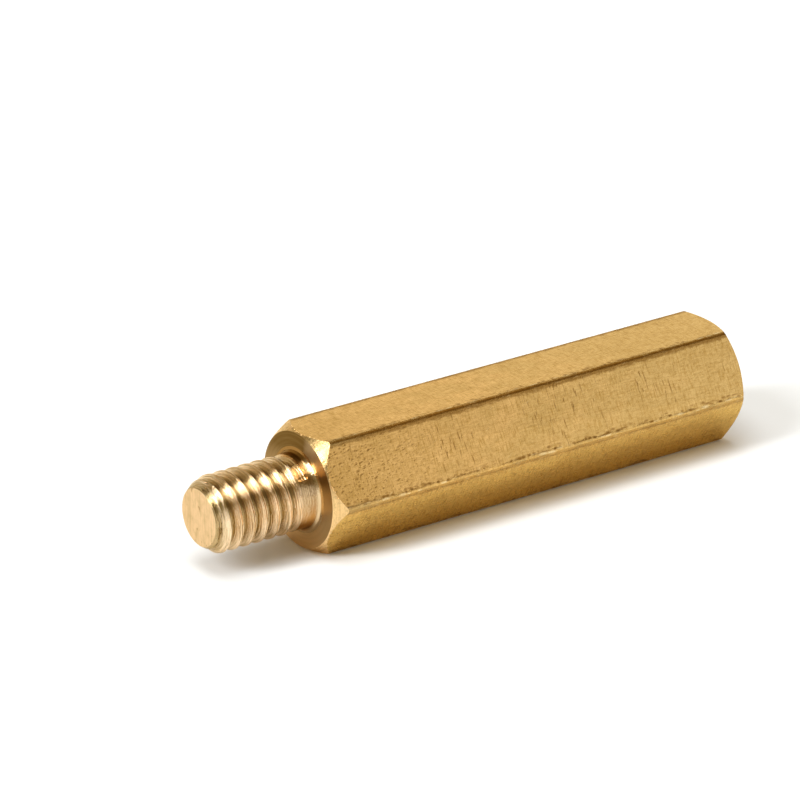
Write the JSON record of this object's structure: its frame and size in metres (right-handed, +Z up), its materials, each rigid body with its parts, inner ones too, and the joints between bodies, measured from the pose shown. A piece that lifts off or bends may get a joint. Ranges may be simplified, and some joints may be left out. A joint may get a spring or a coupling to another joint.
{
  "type": "hex standoff",
  "caption": "Male-female hexagonal spacer turned from brass bar, with a threaded stud on one end and a tapped blind hole in the other.",
  "frame": {"origin": "centre of the shoulder face that the stud stands on, on the bar's axis", "axes": "X along the bar's axis, with the stud towards -X and the body towards +X; +Z up, square to the flat that is uppermost as it lies; +Y makes the frame right-handed"},
  "size_m": [0.0307, 0.0066, 0.006],
  "materials": {
    "brass": "drawn and turned, unpolished, with fine handling scratches"
  },
  "bodies": {
    "root": {"hex_standoff": "brass"}
  },
  "joints": []
}
